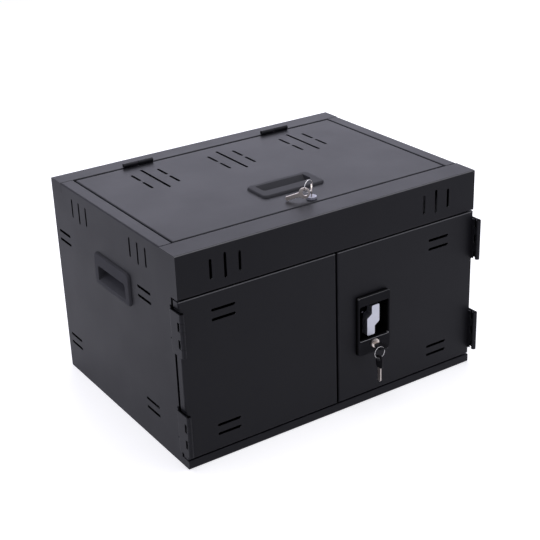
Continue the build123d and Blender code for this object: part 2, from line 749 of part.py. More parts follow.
def grip_cup(base):
    """Moulded grip: raised plate, scooped pocket and an undercut lip towards the base's +y."""
    section = Plane(origin=base.origin, x_dir=base.y_dir, z_dir=base.x_dir)
    low = -POCKET_SHIFT - POCKET_WIDTH / 2
    lip = -POCKET_SHIFT + POCKET_WIDTH / 2
    inset = LIP_THICK * SCOOP_RUN / (GRIP_RISE + CUP_DEPTH)
    with BuildPart() as pocket:
        with BuildSketch(section):
            with BuildLine():
                Polyline(
                    (low, GRIP_RISE),
                    (lip, GRIP_RISE),
                    (lip, LIP_UNDER),
                    (low + inset, LIP_UNDER),
                    close=True,
                )
            make_face()
        extrude(amount=POCKET_LENGTH / 2, both=True)
        fillet(pocket.edges().filter_by(Axis(base.origin, base.z_dir)), POCKET_CORNER)
        with BuildSketch(section):
            with BuildLine():
                Polyline(
                    (low + inset, LIP_UNDER),
                    (low + SCOOP_RUN, -CUP_DEPTH),
                    (lip + CUP_UNDERCUT, -CUP_DEPTH),
                    (lip + CUP_UNDERCUT, LIP_UNDER),
                    close=True,
                )
            make_face()
        extrude(amount=POCKET_LENGTH / 2, both=True)
    with BuildPart() as cup:
        with BuildSketch(base):
            RectangleRounded(GRIP_LENGTH, GRIP_WIDTH, GRIP_CORNER)
        extrude(amount=GRIP_RISE, taper=GRIP_DRAFT)
        top = cup.faces().sort_by(Axis(base.origin, base.z_dir))[-1]
        fillet(top.edges(), GRIP_EDGE)
        with BuildSketch(section):
            with Locations((CUP_CENTRE, 0)):
                Rectangle(CUP_HEIGHT, CUP_DEPTH + CUP_WALL, align=(Align.CENTER, Align.MAX))
        extrude(amount=CUP_LENGTH / 2, both=True)
        add(pocket.part, mode=Mode.SUBTRACT)
    return cup


for hand in (-1, 1):
    outward = Plane(origin=(hand * SIDE, 0, SIDE_GRIP_Z), x_dir=(0, hand, 0), z_dir=(hand, 0, 0))
    save(grip_cup(outward), f"{hand_name(hand)}_side_grip")

lid_base = Plane(origin=(0, LID_GRIP_Y, HEIGHT), x_dir=(-1, 0, 0), z_dir=(0, 0, 1))
save(grip_cup(lid_base), "lid_grip")


def door_panel(hand):
    """Door pan, open at the back, with a joggled pocket for each hinge leaf."""
    pocket_floor = SIDE - LEAF_CLEAR - LEAF
    with BuildPart() as door:
        with BuildSketch(Plane.XZ.offset(-FRONT)):
            with Locations((hand * (SIDE + DOOR_GAP / 2) / 2, DOOR_MID_Z)):
                Rectangle(DOOR_WIDTH, DOOR_HEIGHT)
        extrude(amount=-DOOR_DEPTH)
        fillet(door.faces().sort_by(Axis.Y)[0].edges(), FOLD)
        offset(amount=-SHEET, openings=door.faces().sort_by(Axis.Y)[-1])
        for top in HINGE_TOPS:
            middle = top + (POCKET_RISE - HINGE_HEIGHT - POCKET_FOOT) / 2
            height = HINGE_HEIGHT + POCKET_RISE + POCKET_FOOT
            joggle = SIDE - pocket_floor
            with BuildSketch(Plane.XZ.offset(-FRONT)):
                with Locations((hand * (SIDE - (joggle + SHEET) / 2), middle)):
                    Rectangle(joggle + SHEET, height + 2 * SHEET)
            extrude(amount=-DOOR_DEPTH)
            with BuildSketch(Plane.XZ.offset(-FRONT)):
                with Locations((hand * (SIDE - joggle / 2), middle)):
                    Rectangle(joggle, height)
            extrude(amount=-DOOR_DEPTH, mode=Mode.SUBTRACT)
        with BuildSketch(Plane.XZ.offset(-FRONT)):
            for z in DOOR_SLOT_ZS:
                with Locations((hand * DOOR_SLOT_X, z)):
                    flat_pair()
            if hand > 0:
                with Locations((LOCK_X, WINDOW_Z)):
                    Rectangle(
                        WINDOW_WIDTH + 2 * (LOCK_WALL + LOCK_FIT),
                        WINDOW_HEIGHT + 2 * (LOCK_WALL + LOCK_FIT),
                    )
                with Locations((LOCK_X, CYLINDER_Z)):
                    Circle(CYLINDER_RADIUS + LOCK_FIT)
        extrude(amount=-SHEET, mode=Mode.SUBTRACT)
        if hand < 0:
            with BuildSketch(Plane.XY.offset(DOOR_BOTTOM)):
                with Locations((BOLT_X, BOLT_Y)):
                    Circle(BOLT_RADIUS + BOLT_FIT)
            extrude(amount=DOOR_HEIGHT, mode=Mode.SUBTRACT)
    return door


def hinge_leaf(hand, top, frame):
    """Leaf of a five-knuckle butt hinge; the frame's leaf has the outer and middle knuckles."""
    knuckle = HINGE_HEIGHT / KNUCKLES
    with BuildPart() as leaf:
        with BuildSketch(Plane.XY.offset(top - HINGE_HEIGHT)):
            if frame:
                with BuildLine():
                    FilletPolyline(
                        (hand * (AXIS_X + BARREL_RADIUS), AXIS_Y),
                        (hand * (AXIS_X + BARREL_RADIUS), LEAF_BACK - LEAF_FOOT - LEAF_CRANK),
                        (hand * (SIDE + LEAF), LEAF_BACK - LEAF_FOOT),
                        (hand * (SIDE + LEAF), LEAF_BACK),
                        radius=LEAF_BEND,
                    )
                    offset(amount=LEAF, side=Side.RIGHT if hand < 0 else Side.LEFT)
                make_face()
            else:
                with Locations((hand * (SIDE - LEAF_CLEAR - LEAF / 2), AXIS_Y)):
                    Rectangle(LEAF, DOOR_BACK - AXIS_Y, align=(Align.CENTER, Align.MIN))
            with Locations((hand * AXIS_X, AXIS_Y)):
                Circle(BARREL_RADIUS)
        extrude(amount=HINGE_HEIGHT)
        for n in range(1 if frame else 0, KNUCKLES, 2):
            with BuildSketch(Plane.XY.offset(top - (n + 1) * knuckle - KNUCKLE_GAP / 2)):
                with Locations((hand * AXIS_X, AXIS_Y)):
                    Rectangle(4 * BARREL_RADIUS, 2 * (BARREL_RADIUS + LEAF_NOTCH))
            extrude(amount=knuckle + KNUCKLE_GAP, mode=Mode.SUBTRACT)
        with BuildSketch(Plane.XY.offset(top)):
            with Locations((hand * AXIS_X, AXIS_Y)):
                Circle(PIN_RADIUS + PIN_FIT)
        extrude(amount=-HINGE_HEIGHT, mode=Mode.SUBTRACT)
    return leaf


for hand in (-1, 1):
    save(door_panel(hand), f"{hand_name(hand)}_door_panel")
    for place, top in zip(("upper", "lower"), HINGE_TOPS):
        save(hinge_leaf(hand, top, True), f"{hand_name(hand)}_{place}_frame_leaf")
        save(hinge_leaf(hand, top, False), f"{hand_name(hand)}_{place}_door_leaf")

with BuildPart() as door_hinge_pins:
    for hand in (-1, 1):
        for top in HINGE_TOPS:
            with BuildSketch(Plane.XY.offset(top)):
                with Locations((hand * AXIS_X, AXIS_Y)):
                    Circle(PIN_RADIUS)
            extrude(amount=-HINGE_HEIGHT)
            with BuildSketch(Plane.XY.offset(top)):
                with Locations((hand * AXIS_X, AXIS_Y)):
                    Circle(PIN_HEAD)
            extrude(amount=PIN_HEAD_RISE)
save(door_hinge_pins, "door_hinge_pins")


def lid_leaf(hand, frame):
    """Leaf of a lid hinge, standing in the gap behind the lid; the frame's knuckle is on the left."""
    inner = OPENING_BACK - LID_LEAF if frame else LID_BACK
    start = hand * LID_HINGE_X - LID_HINGE_LENGTH / 2
    free = (LID_HINGE_LENGTH - LID_KNUCKLE_GAP) / 2 if frame else 0
    with BuildPart() as leaf:
        with BuildSketch(Plane.YZ.offset(start)):
            with Locations((inner, HEIGHT - LID_LEAF_DROP)):
                Rectangle(
                    LID_LEAF,
                    LID_AXIS_Z - HEIGHT + LID_LEAF_DROP,
                    align=(Align.MIN, Align.MIN),
                )
            with Locations((LID_AXIS_Y, LID_AXIS_Z)):
                Circle(LID_BARREL_RADIUS)
        extrude(amount=LID_HINGE_LENGTH)
        with BuildSketch(Plane.YZ.offset(start + free)):
            with Locations((LID_AXIS_Y, LID_AXIS_Z)):
                Rectangle(4 * LID_BARREL_RADIUS, 2 * (LID_BARREL_RADIUS + LID_NOTCH))
        extrude(amount=(LID_HINGE_LENGTH + LID_KNUCKLE_GAP) / 2, mode=Mode.SUBTRACT)
        with BuildSketch(Plane.YZ.offset(start)):
            with Locations((LID_AXIS_Y, LID_AXIS_Z)):
                Circle(LID_PIN_RADIUS + PIN_FIT)
        extrude(amount=LID_HINGE_LENGTH, mode=Mode.SUBTRACT)
    return leaf


for hand in (-1, 1):
    save(lid_leaf(hand, True), f"{hand_name(hand)}_lid_frame_leaf")
    save(lid_leaf(hand, False), f"{hand_name(hand)}_lid_moving_leaf")

with BuildPart() as lid_hinge_pins:
    for hand in (-1, 1):
        with BuildSketch(Plane.YZ.offset(hand * LID_HINGE_X - LID_HINGE_LENGTH / 2)):
            with Locations((LID_AXIS_Y, LID_AXIS_Z)):
                Circle(LID_PIN_RADIUS)
        extrude(amount=LID_HINGE_LENGTH)
save(lid_hinge_pins, "lid_hinge_pins")


# Lid pan with three slot groups, the grip's cut-out and the lock's hole
with BuildPart() as lid_panel:
    with BuildSketch(Plane.XY.offset(HEIGHT)):
        with Locations((0, (LID_FRONT + LID_BACK) / 2)):
            Rectangle(2 * LID_HALF_WIDTH, LID_DEPTH)
    extrude(amount=-LID_DROP)
    fillet(lid_panel.faces().sort_by(Axis.Z)[-1].edges(), FOLD)
    offset(amount=-SHEET, openings=lid_panel.faces().sort_by(Axis.Z)[0])
    with BuildSketch(Plane.XY.offset(HEIGHT)):
        with Locations((0, LID_SLOT_Y)):
            with GridLocations(LID_GROUP_PITCH, 0, 3, 1):
                SlotOverall(LID_SLOT_LONG, SLOT, rotation=90)
                with GridLocations(2 * SLOT_PITCH, LID_SLOT_STEP, 2, 2):
                    SlotOverall(LID_SLOT_SHORT, SLOT, rotation=90)
        with Locations((0, LID_GRIP_Y - CUP_CENTRE)):
            Rectangle(CUP_LENGTH + CUP_FIT, CUP_HEIGHT + CUP_FIT)
        with Locations((0, LID_LOCK_Y)):
            Circle(LID_LOCK_BODY + LID_LOCK_FIT)
    extrude(amount=-SHEET, mode=Mode.SUBTRACT)
save(lid_panel, "lid_panel")


# Recessed escutcheon: a hollow moulding with a cup for the lever
with BuildPart() as lock_escutcheon:
    with BuildSketch(Plane.XZ.offset(-FRONT)):
        with Locations((LOCK_X, LOCK_Z)):
            RectangleRounded(LOCK_WIDTH, LOCK_HEIGHT, LOCK_CORNER)
    extrude(amount=LOCK_RISE, taper=LOCK_DRAFT)
    fillet(lock_escutcheon.faces().sort_by(Axis.Y)[0].edges(), LOCK_EDGE)
    with BuildSketch(Plane.XZ.offset(-FRONT)):
        with Locations((LOCK_X, LOCK_Z)):
            RectangleRounded(
                LOCK_WIDTH - 2 * LOCK_WALL,
                LOCK_HEIGHT - 2 * LOCK_WALL,
                LOCK_CORNER - LOCK_WALL,
            )
    extrude(amount=LOCK_RISE - LOCK_WALL, taper=LOCK_DRAFT, mode=Mode.SUBTRACT)
    with BuildSketch(Plane.XZ.offset(-CUP_BACK_Y)):
        with Locations((LOCK_X, WINDOW_Z)):
            RectangleRounded(
                WINDOW_WIDTH + 2 * LOCK_WALL,
                WINDOW_HEIGHT + 2 * LOCK_WALL,
                WINDOW_CORNER + LOCK_WALL,
            )
    extrude(amount=CUP_BACK_Y - LOCK_FACE_Y - LOCK_EDGE)
    with BuildSketch(Plane.XZ.offset(-FRONT)):
        with Locations((LOCK_X, CYLINDER_Z)):
            Circle(CYLINDER_RADIUS + LOCK_WALL)
    extrude(amount=LOCK_RISE - LOCK_EDGE)
    with BuildSketch(Plane.XZ.offset(-CUP_FLOOR_Y)):
        with Locations((LOCK_X, WINDOW_Z)):
            RectangleRounded(WINDOW_WIDTH, WINDOW_HEIGHT, WINDOW_CORNER)
    extrude(amount=CUP_FLOOR, mode=Mode.SUBTRACT)
    mouth = lock_escutcheon.faces().sort_by(Axis.Y)[0].inner_wires()[0]
    fillet(mouth.edges(), WINDOW_EDGE)
    with BuildSketch(Plane.XZ.offset(-CUP_BACK_Y)):
        with Locations((LOCK_X, WINDOW_Z)):
            Circle(SPINDLE_RADIUS + SPINDLE_FIT)
        with Locations((LOCK_X, CYLINDER_Z)):
            Circle(CYLINDER_RADIUS + PLUG_FIT)
    extrude(amount=CUP_BACK_Y - LOCK_FACE_Y, mode=Mode.SUBTRACT)
save(lock_escutcheon, "lock_escutcheon")


# Turn lever: a jogged blade on a round hub, with the spindle's square end in the crank
LEVER_FACE_Y = LOCK_FACE_Y + LEVER_DROP
BLADE_BACK_Y = CUP_FLOOR_Y - RUN_GAP - LEVER_HUB_HEIGHT
CRANK_FACE_Y = CUP_BACK_Y + RUN_GAP
wide = (LEVER_BLADE + LEVER_JOG) / 2
narrow = (LEVER_BLADE - LEVER_JOG) / 2
with BuildPart() as turn_lever:
    with BuildSketch(Plane.XZ.offset(-BLADE_BACK_Y)):
        with BuildLine():
            Polyline(
                (LOCK_X + wide, WINDOW_Z + LEVER_LENGTH / 2),
                (LOCK_X - narrow, WINDOW_Z + LEVER_LENGTH / 2),
                (LOCK_X - narrow, WINDOW_Z + LEVER_JOG_HIGH),
                (LOCK_X - wide, WINDOW_Z + LEVER_JOG_LOW),
                (LOCK_X - wide, WINDOW_Z - LEVER_LENGTH / 2),
                (LOCK_X + narrow, WINDOW_Z - LEVER_LENGTH / 2),
                (LOCK_X + narrow, WINDOW_Z - LEVER_JOG_HIGH),
                (LOCK_X + wide, WINDOW_Z - LEVER_JOG_LOW),
                close=True,
            )
        blade = make_face()
        fillet(blade.vertices(), LEVER_CORNER)
    extrude(amount=BLADE_BACK_Y - LEVER_FACE_Y)
    fillet(turn_lever.faces().sort_by(Axis.Y)[0].edges(), LEVER_EDGE)
    with BuildSketch(Plane.XZ.offset(-BLADE_BACK_Y)):
        with Locations((LOCK_X, WINDOW_Z)):
            Circle(LEVER_HUB)
    extrude(amount=-LEVER_HUB_HEIGHT)
    with BuildSketch(Plane.XZ.offset(-BLADE_BACK_Y)):
        with Locations((LOCK_X, WINDOW_Z)):
            Circle(SPINDLE_RADIUS)
    extrude(amount=BLADE_BACK_Y - CRANK_FACE_Y)
    with BuildSketch(Plane.XZ.offset(-CRANK_FACE_Y)):
        with Locations((LOCK_X, WINDOW_Z)):
            Rectangle(SPINDLE_SQUARE, SPINDLE_SQUARE)
    extrude(amount=-CRANK_THICK)
save(turn_lever, "turn_lever")

with BuildPart() as crank_disc:
    with BuildSketch(Plane.XZ.offset(-CRANK_FACE_Y)):
        with Locations((LOCK_X, WINDOW_Z)):
            Circle(CRANK_DISC)
            Rectangle(
                SPINDLE_SQUARE + SPINDLE_FIT,
                SPINDLE_SQUARE + SPINDLE_FIT,
                mode=Mode.SUBTRACT,
            )
    extrude(amount=-CRANK_THICK)
    with BuildSketch(Plane.XZ.offset(-CRANK_FACE_Y - CRANK_THICK)):
        with Locations(
            (LOCK_X + CRANK_STEP, WINDOW_Z - CRANK_STEP),
            (LOCK_X - CRANK_STEP, WINDOW_Z + CRANK_STEP),
        ):
            Circle(CRANK_PIN)
    extrude(amount=-RUN_GAP - ROD_THICK - CRANK_PIN_SPARE)
save(crank_disc, "crank_disc")


def latch_rod(way, tip):
    """Flat rod with a slotted eye on its crank pin; way is 1 for the upper rod, -1 for the lower."""
    x = LOCK_X + way * ROD_SHIFT
    eye = WINDOW_Z - way * CRANK_STEP
    with BuildPart() as rod:
        with BuildSketch(Plane.XZ.offset(-ROD_Y + ROD_THICK / 2)):
            with Locations((x, (eye + tip) / 2)):
                Rectangle(ROD_WIDTH, abs(tip - eye))
            with Locations((x, eye)):
                RectangleRounded(ROD_EYE, ROD_EYE_HEIGHT, CRANK_PIN)
                SlotOverall(
                    2 * (CRANK_RADIUS - ROD_SHIFT + CRANK_PIN + ROD_SLOT_PLAY),
                    2 * (CRANK_PIN + ROD_SLOT_PLAY),
                    mode=Mode.SUBTRACT,
                )
        extrude(amount=-ROD_THICK)
    return rod


def rod_guide(way, tip):
    """Angle bracket on the door's inner face, slotted for a rod."""
    x = LOCK_X + way * ROD_SHIFT
    tab = tip - way * GUIDE_FROM_TIP
    with BuildPart() as guide:
        with BuildSketch(Plane.YZ.offset(x - GUIDE_WIDTH / 2)):
            with BuildLine():
                FilletPolyline(
                    (FRONT + SHEET, tab - way * GUIDE_FOOT),
                    (FRONT + SHEET, tab),
                    (ROD_Y + ROD_THICK / 2 + GUIDE_BACK, tab),
                    radius=FOLD,
                )
                offset(amount=GUIDE_SHEET, side=Side.RIGHT if way > 0 else Side.LEFT)
            make_face()
        extrude(amount=GUIDE_WIDTH)
        with BuildSketch(Plane.XY.offset(tab)):
            with Locations((x, ROD_Y)):
                Rectangle(ROD_WIDTH + 2 * GUIDE_FIT, ROD_THICK + 2 * GUIDE_FIT)
        extrude(amount=GUIDE_SHEET, both=True, mode=Mode.SUBTRACT)
    return guide


for place, way, tip in (("upper", 1, UPPER_ROD_TIP), ("lower", -1, LOWER_ROD_TIP)):
    save(latch_rod(way, tip), f"{place}_rod")
    save(rod_guide(way, tip), f"{place}_rod_guide")


def door_bolt(way, tip):
    """Round bolt of the left door with a knob to slide it by."""
    with BuildPart() as bolt:
        with BuildSketch(Plane.XY.offset(tip)):
            with Locations((BOLT_X, BOLT_Y)):
                Circle(BOLT_RADIUS)
        extrude(amount=-way * BOLT_LENGTH)
        with BuildSketch(Plane.XZ.offset(-BOLT_Y)):
            with Locations((BOLT_X, tip - way * BOLT_KNOB_FROM_TIP)):
                Circle(BOLT_KNOB_RADIUS)
        extrude(amount=-BOLT_KNOB)
    return bolt


def bolt_bracket(way, tip):
    """Folded bracket that carries a bolt at both ends."""
    near = tip - way * BRACKET_FROM_TIP
    far = near - way * BRACKET_HEIGHT
    low, high = sorted((near, far))
    reach = BOLT_Y + BOLT_RADIUS + BRACKET_LIP
    with BuildPart() as bracket:
        with BuildSketch(Plane.YZ.offset(BOLT_X - BRACKET_WIDTH / 2)):
            with BuildLine():
                FilletPolyline(
                    (reach, low),
                    (FRONT + SHEET, low),
                    (FRONT + SHEET, high),
                    (reach, high),
                    radius=FOLD,
                )
                offset(amount=BRACKET_SHEET, side=Side.RIGHT)
            make_face()
        extrude(amount=BRACKET_WIDTH)
        with BuildSketch(Plane.XY.offset(low)):
            with Locations((BOLT_X, BOLT_Y)):
                Circle(BOLT_RADIUS + BOLT_FIT)
        extrude(amount=BRACKET_HEIGHT, mode=Mode.SUBTRACT)
    return bracket


for place, way, tip in (("top", 1, TOP_BOLT_TIP), ("bottom", -1, BOTTOM_BOLT_TIP)):
    save(door_bolt(way, tip), f"{place}_bolt")
    save(bolt_bracket(way, tip), f"{place}_bolt_bracket")


# Door lock cylinder with its plug and the dog behind it
CYLINDER_FACE_Y = LOCK_FACE_Y - CYLINDER_RISE
CYLINDER_BACK_Y = CYLINDER_FACE_Y + CYLINDER_LENGTH
with BuildPart() as lock_cylinder_body:
    with BuildSketch(Plane.XZ.offset(-CYLINDER_BACK_Y)):
        with Locations((LOCK_X, CYLINDER_Z)):
            Circle(CYLINDER_RADIUS)
            Circle(PLUG_RADIUS + PLUG_FIT, mode=Mode.SUBTRACT)
    extrude(amount=CYLINDER_LENGTH)
save(lock_cylinder_body, "lock_cylinder_body")

with BuildPart() as door_lock_plug:
    with BuildSketch(Plane.XZ.offset(-CYLINDER_BACK_Y - RUN_GAP)):
        with Locations((LOCK_X, CYLINDER_Z)):
            Circle(PLUG_RADIUS)
    extrude(amount=CYLINDER_LENGTH + RUN_GAP)
    with BuildSketch(Plane.XZ.offset(-CYLINDER_BACK_Y - RUN_GAP)):
        with Locations((LOCK_X, CYLINDER_Z)):
            Circle(PLUG_RADIUS)
            Rectangle(DOG_WIDTH, DOG_LENGTH, align=(Align.CENTER, Align.MIN))
    extrude(amount=-DOG_THICK)
    with BuildSketch(Plane.XZ.offset(-CYLINDER_FACE_Y)):
        with Locations((LOCK_X, CYLINDER_Z)):
            Rectangle(KEY_BLADE_WIDTH + 2 * KEYWAY_FIT, KEY_THICK + 2 * KEYWAY_FIT)
    extrude(amount=-HEADED_BLADE + HEAD_GAP - KEYWAY_FIT, mode=Mode.SUBTRACT)
save(door_lock_plug, "door_lock_plug")


def blade_points(length):
    """Outline of a key blade from the base's origin down its -y, pointed, cut along one edge."""
    edge = KEY_BLADE_WIDTH / 2
    points = [(-edge, 0), (-edge, KEY_TIP - length), (0, -length), (edge, KEY_TIP - length)]
    pitch = (length - 2 * KEY_TIP) / (KEY_CUTS + 1)
    for n in range(KEY_CUTS):
        cut = KEY_TIP - length + (n + 1) * pitch
        points += [(edge, cut - KEY_CUT), (edge - KEY_CUT, cut), (edge, cut + KEY_CUT)]
    return points + [(edge, 0)]


def headed_key(base, side):
    """Blade and moulded head of a door key; the base's origin is the middle of the head's root."""
    with BuildPart() as blade:
        with BuildSketch(base.offset(-KEY_THICK / 2)):
            with BuildLine():
                Polyline(*blade_points(HEADED_BLADE), close=True)
            make_face()
        extrude(amount=KEY_THICK)
    with BuildPart() as head:
        with BuildSketch(base.offset(-HEAD_THICK / 2)):
            with Locations((0, HEAD_LENGTH / 2)):
                RectangleRounded(HEAD_WIDTH, HEAD_LENGTH, HEAD_CORNER)
            with Locations((side, HEAD_LENGTH - HEAD_HOLE_END)):
                Circle(HEAD_HOLE, mode=Mode.SUBTRACT)
        extrude(amount=HEAD_THICK)
    return blade, head


# Key in the door's lock, held level, with its head towards the front
HEAD_ROOT_Y = CYLINDER_FACE_Y - HEAD_GAP
key_base = Plane(origin=(LOCK_X, HEAD_ROOT_Y, CYLINDER_Z), x_dir=(-1, 0, 0), z_dir=(0, 0, 1))
blade, head = headed_key(key_base, HEAD_HOLE_SIDE)
save(blade, "door_key_blade")
save(head, "door_key_head")

# Split ring hanging over the web between the head's hole and its edge
RING_Y = HEAD_ROOT_Y - HEAD_LENGTH + HEAD_HOLE_END
WEB_RIGHT = LOCK_X - HEAD_HOLE_SIDE - HEAD_HOLE
WEB_X = (LOCK_X - HEAD_WIDTH / 2 + WEB_RIGHT) / 2
ring_inside = math.sqrt((RING_RADIUS - RING_WIRE) ** 2 - (WEB_RIGHT - WEB_X) ** 2)
RING_Z = CYLINDER_Z + HEAD_THICK / 2 + KEY_HANG_GAP - ring_inside
with BuildPart(Plane(origin=(WEB_X, RING_Y, RING_Z), z_dir=(0, 1, 0))) as door_key_ring:
    Torus(RING_RADIUS, RING_WIRE)
save(door_key_ring, "door_key_ring")

# Spare door key hanging from the ring
HANG_Z = RING_Z - RING_RADIUS + RING_WIRE + KEY_HANG_GAP - HEAD_HOLE
spare_origin = (WEB_X, RING_Y, HANG_Z - HEAD_LENGTH + HEAD_HOLE_END)
spare_base = Plane(origin=spare_origin, x_dir=(0, 1, 0), z_dir=(1, 0, 0))
blade, head = headed_key(spare_base, 0)
save(blade, "door_spare_blade")
save(head, "door_spare_head")


# Cam lock of the lid
LID_FACE_Z = HEIGHT + LID_LOCK_RISE
with BuildPart() as lid_lock_body:
    with BuildSketch(Plane.XY.offset(HEIGHT)):
        with Locations((0, LID_LOCK_Y)):
            Circle(LID_LOCK_FACE)
    extrude(amount=LID_LOCK_RISE)
    fillet(lid_lock_body.faces().sort_by(Axis.Z)[-1].edges(), LID_LOCK_EDGE)
    with BuildSketch(Plane.XY.offset(LID_BODY_BOTTOM)):
        with Locations((0, LID_LOCK_Y)):
            Circle(LID_LOCK_BODY)
    extrude(amount=HEIGHT - LID_BODY_BOTTOM)
    with BuildSketch(Plane.XY.offset(LID_BODY_BOTTOM)):
        with Locations((0, LID_LOCK_Y)):
            Circle(PLUG_RADIUS + PLUG_FIT)
    extrude(amount=LID_FACE_Z - LID_BODY_BOTTOM, mode=Mode.SUBTRACT)
save(lid_lock_body, "lid_lock_body")

with BuildPart() as lid_lock_nut:
    with BuildSketch(Plane.XY.offset(HEIGHT - SHEET)):
        with Locations((0, LID_LOCK_Y)):
            RegularPolygon(LID_NUT_RADIUS, 6)
            Circle(LID_LOCK_BODY, mode=Mode.SUBTRACT)
    extrude(amount=-LID_NUT_THICK)
save(lid_lock_nut, "lid_lock_nut")

key_normal = Vector(1, 0, 0).rotate(Axis.Z, KEY_FACING)
key_across = Vector(0, 1, 0).rotate(Axis.Z, KEY_FACING)
with BuildPart() as lid_lock_plug:
    with BuildSketch(Plane.XY.offset(CAM_TOP)):
        with Locations((0, LID_LOCK_Y)):
            Circle(PLUG_RADIUS)
    extrude(amount=LID_FACE_Z - CAM_TOP)
    with BuildSketch(Plane.XY.offset(CAM_TOP)):
        with Locations((0, LID_LOCK_Y)):
            Circle(CAM_SHANK)
    extrude(amount=-CAM_THICK)
    with BuildSketch(Plane(origin=(0, LID_LOCK_Y, LID_FACE_Z), x_dir=key_across, z_dir=(0, 0, 1))):
        Rectangle(KEY_BLADE_WIDTH + 2 * KEYWAY_FIT, KEY_THICK + 2 * KEYWAY_FIT)
    extrude(amount=-BOW_BLADE + BOW_GAP - KEYWAY_FIT, mode=Mode.SUBTRACT)
save(lid_lock_plug, "lid_lock_plug")

with BuildPart() as lid_cam:
    with BuildSketch(Plane.XY.offset(CAM_TOP)):
        with Locations(((CAM_HEEL - CAM_REACH) / 2, LID_LOCK_Y)):
            RectangleRounded(CAM_REACH + CAM_HEEL, CAM_WIDTH, CAM_SHANK)
        with Locations((0, LID_LOCK_Y)):
            Circle(CAM_SHANK, mode=Mode.SUBTRACT)
    extrude(amount=-CAM_THICK)
save(lid_cam, "lid_cam")


def stamped_key(base):
    """All-metal key; the base's origin is the middle of its bow."""
    with BuildPart() as key:
        with BuildSketch(base.offset(-KEY_THICK / 2)):
            Circle(BOW_RADIUS)
            with Locations((0, -BOW_RADIUS / 2)):
                Rectangle(KEY_BLADE_WIDTH, BOW_RADIUS)
            with Locations((0, BOW_HOLE_SHIFT)):
                Circle(BOW_HOLE, mode=Mode.SUBTRACT)
        extrude(amount=KEY_THICK)
        with BuildSketch(Plane(base.location * Location((0, -BOW_RADIUS, -KEY_THICK / 2)))):
            with BuildLine():
                Polyline(*blade_points(BOW_BLADE), close=True)
            make_face()
        extrude(amount=KEY_THICK)
    return key


BOW_Z = LID_FACE_Z + BOW_GAP + BOW_RADIUS
lid_key_base = Plane(origin=(0, LID_LOCK_Y, BOW_Z), x_dir=key_across, z_dir=key_normal)
save(stamped_key(lid_key_base), "lid_key")

# Ring through the upright key's bow, to one side of it
WEB_Z = BOW_Z + (BOW_RADIUS + BOW_HOLE_SHIFT + BOW_HOLE) / 2
ring_way = Vector(1, 0, 0).rotate(Axis.Z, LID_RING_FACING)
lid_ring_centre = Vector(0, LID_LOCK_Y, WEB_Z) + ring_way * LID_RING_REACH
lid_ring_plane = Plane(origin=lid_ring_centre, x_dir=ring_way, z_dir=ring_way.cross(Vector(0, 0, 1)))
with BuildPart(lid_ring_plane) as lid_key_ring:
    Torus(RING_RADIUS, RING_WIRE)
save(lid_key_ring, "lid_key_ring")

# Spare lid key, its bow on the ring and its tip on the lid
spare_way = Vector(1, 0, 0).rotate(Axis.Z, SPARE_FACING)
spare_normal = Vector(0, 0, 1).cross(spare_way)
slope = math.radians(SPARE_SLOPE)
spare_along = spare_way * math.cos(slope) - Vector(0, 0, 1) * math.sin(slope)
hang_turn = math.radians(LID_HANG_ANGLE)
hang_way = ring_way * math.sin(hang_turn) - Vector(0, 0, 1) * math.cos(hang_turn)
hang_point = lid_ring_centre + hang_way * RING_RADIUS
bow_centre = hang_point + spare_along * (SPARE_SLIDE + BOW_HOLE_SHIFT)
lid_spare_base = Plane(origin=bow_centre, x_dir=spare_normal.cross(spare_along), z_dir=spare_normal)
save(stamped_key(lid_spare_base), "lid_spare_key")
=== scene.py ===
import json
import math

import bmesh
import bpy
import numpy as np
from mathutils import Matrix, Vector


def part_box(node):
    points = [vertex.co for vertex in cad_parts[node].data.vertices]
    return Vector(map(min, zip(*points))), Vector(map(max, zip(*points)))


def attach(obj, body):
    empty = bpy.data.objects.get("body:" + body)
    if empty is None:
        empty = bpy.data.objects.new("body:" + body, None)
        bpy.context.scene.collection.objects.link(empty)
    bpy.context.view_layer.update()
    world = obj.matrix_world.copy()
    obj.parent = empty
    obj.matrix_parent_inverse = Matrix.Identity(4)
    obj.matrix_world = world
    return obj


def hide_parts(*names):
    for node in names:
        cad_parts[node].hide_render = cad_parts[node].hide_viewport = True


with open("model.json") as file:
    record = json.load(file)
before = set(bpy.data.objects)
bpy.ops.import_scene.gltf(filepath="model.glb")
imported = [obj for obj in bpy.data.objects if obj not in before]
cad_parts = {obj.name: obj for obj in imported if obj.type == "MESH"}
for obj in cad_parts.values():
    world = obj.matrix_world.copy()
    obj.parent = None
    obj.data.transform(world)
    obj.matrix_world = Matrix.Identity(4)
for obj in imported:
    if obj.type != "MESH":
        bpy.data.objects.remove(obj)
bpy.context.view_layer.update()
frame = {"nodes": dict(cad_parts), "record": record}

scene = bpy.context.scene
nodes = frame["nodes"]
MM = 0.001


# Camera, fitted to the photograph's corners and seams
AZIMUTH, ELEVATION, ROLL = (math.radians(a) for a in (-32.8945, 24.6231, -2.1116))
CAMERA_PLACE = (-1.0694, -1.6713, 1.1010)
FOCAL_PX = 1201.13
FRAME_PX = 540
SENSOR_MM = 36.0
away = Vector((math.sin(AZIMUTH), -math.cos(AZIMUTH), 0))
back = away * math.cos(ELEVATION) + Vector((0, 0, math.sin(ELEVATION)))
level = Vector((math.cos(AZIMUTH), math.sin(AZIMUTH), 0))
rise = back.cross(level)
right = math.cos(ROLL) * level + math.sin(ROLL) * rise
up = -math.sin(ROLL) * level + math.cos(ROLL) * rise
camera_data = bpy.data.cameras.new("camera")
camera_data.sensor_fit = "HORIZONTAL"
camera_data.sensor_width = SENSOR_MM
camera_data.lens = FOCAL_PX / FRAME_PX * SENSOR_MM
camera_data.clip_start = 0.01
camera = bpy.data.objects.new("camera", camera_data)
turn = Matrix((right, up, back)).transposed().to_4x4()
